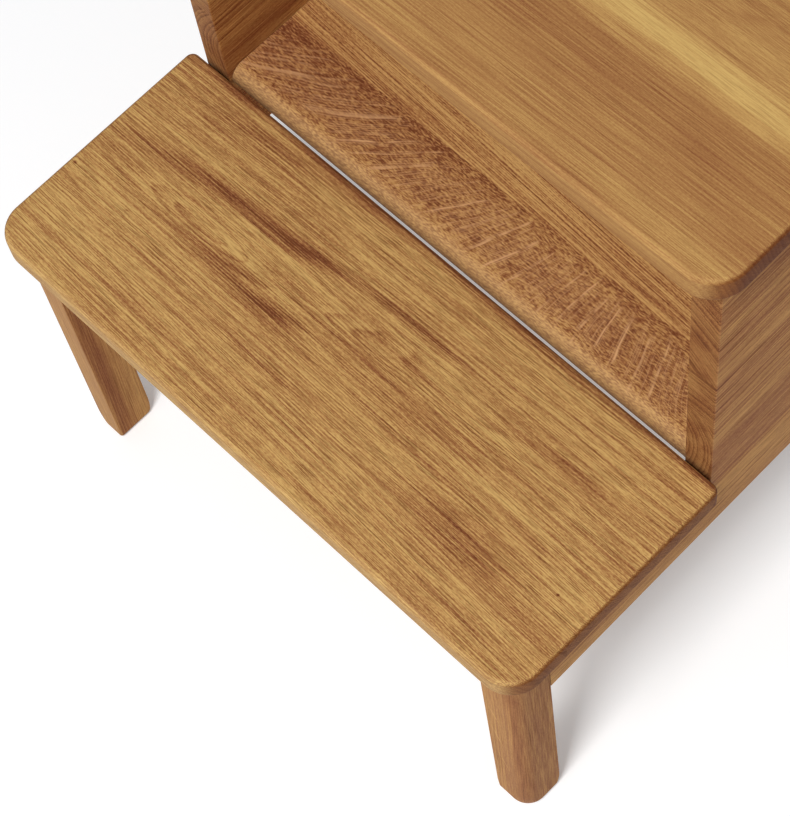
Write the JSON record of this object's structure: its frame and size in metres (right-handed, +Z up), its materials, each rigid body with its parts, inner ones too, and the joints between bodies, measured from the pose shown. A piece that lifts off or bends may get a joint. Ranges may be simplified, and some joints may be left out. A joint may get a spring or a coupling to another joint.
{
  "type": "two-step stool",
  "caption": "Low wooden step stool: a wide lower tread and a higher upper tread over an open-fronted storage box, on short legs joined by rails and concealed dowels.",
  "frame": {"origin": "on the floor, in the middle of the stool's bounding box seen from above", "axes": "+X to the stool's right, -Y to its front where the lower tread is, +Z up"},
  "size_m": [0.4, 0.4, 0.483],
  "materials": {
    "tread_oak": "oiled solid oak, satin",
    "shelf_oak": "oiled solid oak, satin",
    "side_oak": "oiled solid oak, satin",
    "leg_oak": "oiled solid oak, satin",
    "dowel_beech": "raw beech"
  },
  "bodies": {
    "root": {"lower_step": "tread_oak", "upper_step": "tread_oak", "shelf": "shelf_oak", "left_side_panel": "side_oak", "right_side_panel": "side_oak", "back_panel": "side_oak", "left_side_rail": "side_oak", "right_side_rail": "side_oak", "rear_rail": "side_oak", "front_left_leg": "leg_oak", "front_right_leg": "leg_oak", "rear_left_leg": "leg_oak", "rear_right_leg": "leg_oak", "dowel_left_leg_to_step": "dowel_beech", "dowel_right_leg_to_step": "dowel_beech", "dowel_left_rail_to_front_leg_low": "dowel_beech", "dowel_left_rail_to_front_leg_high": "dowel_beech", "dowel_right_rail_to_front_leg_low": "dowel_beech", "dowel_right_rail_to_front_leg_high": "dowel_beech", "dowel_left_rail_to_rear_leg_low": "dowel_beech", "dowel_left_rail_to_rear_leg_high": "dowel_beech", "dowel_right_rail_to_rear_leg_low": "dowel_beech", "dowel_right_rail_to_rear_leg_high": "dowel_beech", "dowel_rear_rail_to_left_leg_low": "dowel_beech", "dowel_rear_rail_to_left_leg_high": "dowel_beech", "dowel_rear_rail_to_right_leg_low": "dowel_beech", "dowel_rear_rail_to_right_leg_high": "dowel_beech", "dowel_left_rail_to_step_1": "dowel_beech", "dowel_left_rail_to_step_2": "dowel_beech", "dowel_right_rail_to_step_1": "dowel_beech", "dowel_right_rail_to_step_2": "dowel_beech", "dowel_left_rail_to_panel_1": "dowel_beech", "dowel_left_rail_to_panel_2": "dowel_beech", "dowel_left_rail_to_panel_3": "dowel_beech", "dowel_right_rail_to_panel_1": "dowel_beech", "dowel_right_rail_to_panel_2": "dowel_beech", "dowel_right_rail_to_panel_3": "dowel_beech", "dowel_shelf_to_left_panel_1": "dowel_beech", "dowel_shelf_to_left_panel_2": "dowel_beech", "dowel_shelf_to_right_panel_1": "dowel_beech", "dowel_shelf_to_right_panel_2": "dowel_beech", "dowel_left_panel_to_step_1": "dowel_beech", "dowel_left_panel_to_step_2": "dowel_beech", "dowel_left_panel_to_step_3": "dowel_beech", "dowel_right_panel_to_step_1": "dowel_beech", "dowel_right_panel_to_step_2": "dowel_beech", "dowel_right_panel_to_step_3": "dowel_beech", "dowel_back_to_left_panel_low": "dowel_beech", "dowel_back_to_left_panel_high": "dowel_beech", "dowel_back_to_right_panel_low": "dowel_beech", "dowel_back_to_right_panel_high": "dowel_beech", "dowel_rear_rail_to_shelf_left": "dowel_beech", "dowel_rear_rail_to_shelf_right": "dowel_beech"}
  },
  "joints": []
}
